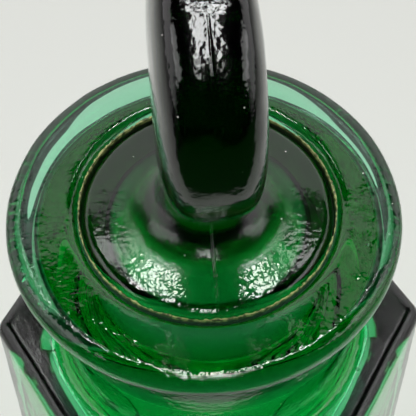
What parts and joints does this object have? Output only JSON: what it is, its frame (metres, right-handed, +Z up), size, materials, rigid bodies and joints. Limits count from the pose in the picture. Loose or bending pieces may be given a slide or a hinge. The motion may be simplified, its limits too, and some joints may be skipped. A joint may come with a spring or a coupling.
{
  "type": "stoppered glass bottle",
  "caption": "Six-sided green glass bottle with a wide flanged mouth, a sealing sleeve and a lift-out hollow conical stopper with a round upright handle.",
  "frame": {"origin": "middle of the underside, on the surface that the bottle stands on", "axes": "+Z up along the bottle's axis; two of the six body corners point along +X and -X, and two flats face +Y and -Y"},
  "size_m": [0.0792, 0.0696, 0.2109],
  "materials": {
    "bottle_glass": "pressed, emerald green, fire-polished with a light chill texture",
    "seal_plastic": "thin translucent film, yellowed",
    "stopper_glass": "pressed, emerald green, with a ground plug"
  },
  "bodies": {
    "bottle": {"bottle": "bottle_glass"},
    "seal": {"seal_sleeve": "seal_plastic"},
    "stopper": {"stopper": "stopper_glass"}
  },
  "joints": [
    {"name": "stopper_lift", "type": "slide", "parent": "bottle", "child": "seal", "axis": [0, 0, 1], "range_m": [0, 0.03]},
    {"name": "stopper_twist", "type": "hinge", "parent": "seal", "child": "stopper", "pos_m": [0, 0, 0.158], "axis": [0, 0, 1], "continuous": true}
  ]
}
